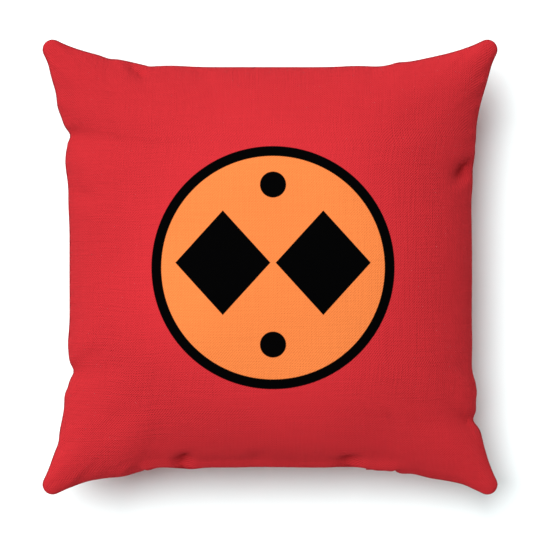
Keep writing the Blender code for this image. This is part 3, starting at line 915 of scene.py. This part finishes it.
def enamel_material():
    """Red enamel on the zip's slider and pull, a little worn."""
    surface = Surface("zip_enamel", 0.4, Specular_IOR_Level=0.3)
    grain = surface.noise(500.0, 3.0)
    surface.colour(surface.mix(grain, (0.40, 0.018, 0.024, 1), (0.48, 0.024, 0.031, 1)))
    surface.set("Roughness", surface.ramp(surface.noise(160.0, 4.0), 0.35, 0.7, 0.34, 0.5))
    surface.bump(grain, 0.00003, 0.4)
    return surface.material


def stop_material():
    surface = Surface("zip_stop_metal", 0.35, Metallic=1.0)
    scratches = surface.noise(700.0, 3.0, (0.2, 1.0, 1.0))
    surface.colour(surface.mix(scratches, (0.50, 0.50, 0.48, 1), (0.66, 0.66, 0.64, 1)))
    surface.bump(scratches, 0.00002, 0.5)
    return surface.material


def satin_material():
    surface = Surface("label_satin_weave", 0.45, Sheen_Weight=0.3)
    lines = surface.noise(1500.0, 1.0, (0.08, 1.0, 0.08))
    surface.colour(surface.mix(lines, (0.66, 0.64, 0.60, 1), (0.78, 0.76, 0.72, 1)))
    surface.bump(lines, 0.00004, 0.5)
    return surface.material


# --- The pieces -------------------------------------------------------------------------

def cover_shapes():
    """The finished front and back of the cover, as grids that meet along the seam."""
    front, back = inflated(GRID_CELLS)
    front[..., 2] *= RISES["front"] / front[..., 2].max()
    back[..., 2] *= -RISES["back"] / back[..., 2].min()
    front, back = worked(finer(front), 1), rested(worked(finer(back), -1))
    cells = len(front) - 1
    plan = plan_grid(COVER, cells)
    for place in rim_indices(cells):
        front[place] = back[place] = (*plan[place], 0)
    return front, back


def make_soft_goods():
    front, back = cover_shapes()
    printed, plain = make_printed_cloth("printed_front", True), make_printed_cloth("plain_back", False)
    cover_front = cloth_panel("cover_front", COVER, front, 1, printed)
    cover_back = cloth_panel("cover_back", COVER, back, -1, plain)
    casing = insert_material()
    insert_front = cloth_panel("insert_front", INSERT, front, 1, casing)
    insert_back = cloth_panel("insert_back", INSERT, back, -1, casing)
    fill = fill_body("stuffing", FILL, front, back, fibre_material())
    pairs = ((cover_front, "cover_front_panel"), (cover_back, "cover_back_panel"),
             (insert_front, "insert_front_panel"), (insert_back, "insert_back_panel"), (fill, "fibre_fill"))
    for piece, node in pairs:
        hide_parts(node)
    make_tapes(front, back)
    cells = len(front) - 1
    for owner, layer in (("cover", COVER), ("insert", INSERT)):
        make_lockstitch(owner, layer, cells)
        make_overlock(owner, layer, cells)
    make_seam_ties(cells)
    make_label(back)


def dress_cad_nodes():
    """Procedural materials and rounded edges for the CAD pieces that show as they are."""
    dressed = (
        (nylon_material(), 0.00008, ("zipper_front_teeth", "zipper_back_teeth")),
        (stop_material(), 0.00015, ("zipper_front_top_stop", "zipper_back_top_stop", "zipper_bottom_stop")),
        (enamel_material(), 0.00022, ("zipper_slider", "zipper_pull")),
    )
    for surface, rounding, names in dressed:
        for name in names:
            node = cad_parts[name]
            node.data.materials.clear()
            node.data.materials.append(surface)
            bevel = node.modifiers.new("rounded", "BEVEL")
            bevel.width = rounding
            bevel.segments = 2
            bevel.limit_method = "ANGLE"
            bevel.harden_normals = True


# --- Floor, light and camera ------------------------------------------------------------

FLOOR_HALF = 60.0
FLOOR_COLOUR = (0.90, 0.98, 0.98, 1)  # a little cool, against the pillow's red glow
HORIZON = (0.05, 0.10)  # the sines of the heights between which the sky's white turns grey
CAMERA_DISTANCE = 2.94  # above the seam
CAMERA_SHIFT_Y = -0.0029
LENS = 200
KEY_FROM = (-0.38, 0.38, 1.0)
KEY_SOFTNESS = math.radians(48)
KEY_STRENGTH = 4.2
FILL_STRENGTH = 0.28


def make_floor():
    mesh = bpy.data.meshes.new("floor")
    corners = [(FLOOR_HALF * x, FLOOR_HALF * y, 0) for x, y in ((-1, -1), (1, -1), (1, 1), (-1, 1))]
    mesh.from_pydata(corners, [], [(0, 1, 2, 3)])
    floor = bpy.data.objects.new("floor", mesh)
    bpy.context.scene.collection.objects.link(floor)
    paper = Surface("floor_paper", 0.9)
    paper.shader.inputs["Base Color"].default_value = FLOOR_COLOUR
    mesh.materials.append(paper.material)


def make_key():
    """A very soft, high light from the upper left."""
    data = bpy.data.lights.new("key", "SUN")
    data.energy = KEY_STRENGTH
    data.angle = KEY_SOFTNESS
    key = bpy.data.objects.new("key", data)
    bpy.context.scene.collection.objects.link(key)
    key.rotation_euler = Vector(KEY_FROM).to_track_quat("Z", "Y").to_euler()


def make_backdrop():
    """An even grey sky for the fill light, white down at the horizon like the floor."""
    world = bpy.data.worlds.new("studio")
    world.use_nodes = True
    nodes, links = world.node_tree.nodes, world.node_tree.links
    direction = nodes.new("ShaderNodeTexCoord").outputs["Generated"]
    parts = nodes.new("ShaderNodeSeparateXYZ")
    links.new(direction, parts.inputs[0])
    level = nodes.new("ShaderNodeMapRange")
    settings = {"From Min": HORIZON[0], "From Max": HORIZON[1], "To Min": 1.0, "To Max": FILL_STRENGTH}
    for socket, value in settings.items():
        level.inputs[socket].default_value = value
    links.new(parts.outputs["Z"], level.inputs["Value"])
    links.new(level.outputs[0], nodes["Background"].inputs["Strength"])
    nodes["Background"].inputs["Color"].default_value = (1, 1, 1, 1)
    bpy.context.scene.world = world


def make_studio():
    make_floor()
    make_key()
    make_backdrop()
    bpy.context.scene.view_settings.view_transform = "Standard"

    camera = bpy.data.objects.new("camera", bpy.data.cameras.new("camera"))
    bpy.context.scene.collection.objects.link(camera)
    camera.data.lens = LENS
    camera.data.clip_end = 50
    camera.location = (0, CAMERA_SHIFT_Y, SEAM_HEIGHT + CAMERA_DISTANCE)
    bpy.context.scene.camera = camera


make_soft_goods()
dress_cad_nodes()
make_studio()
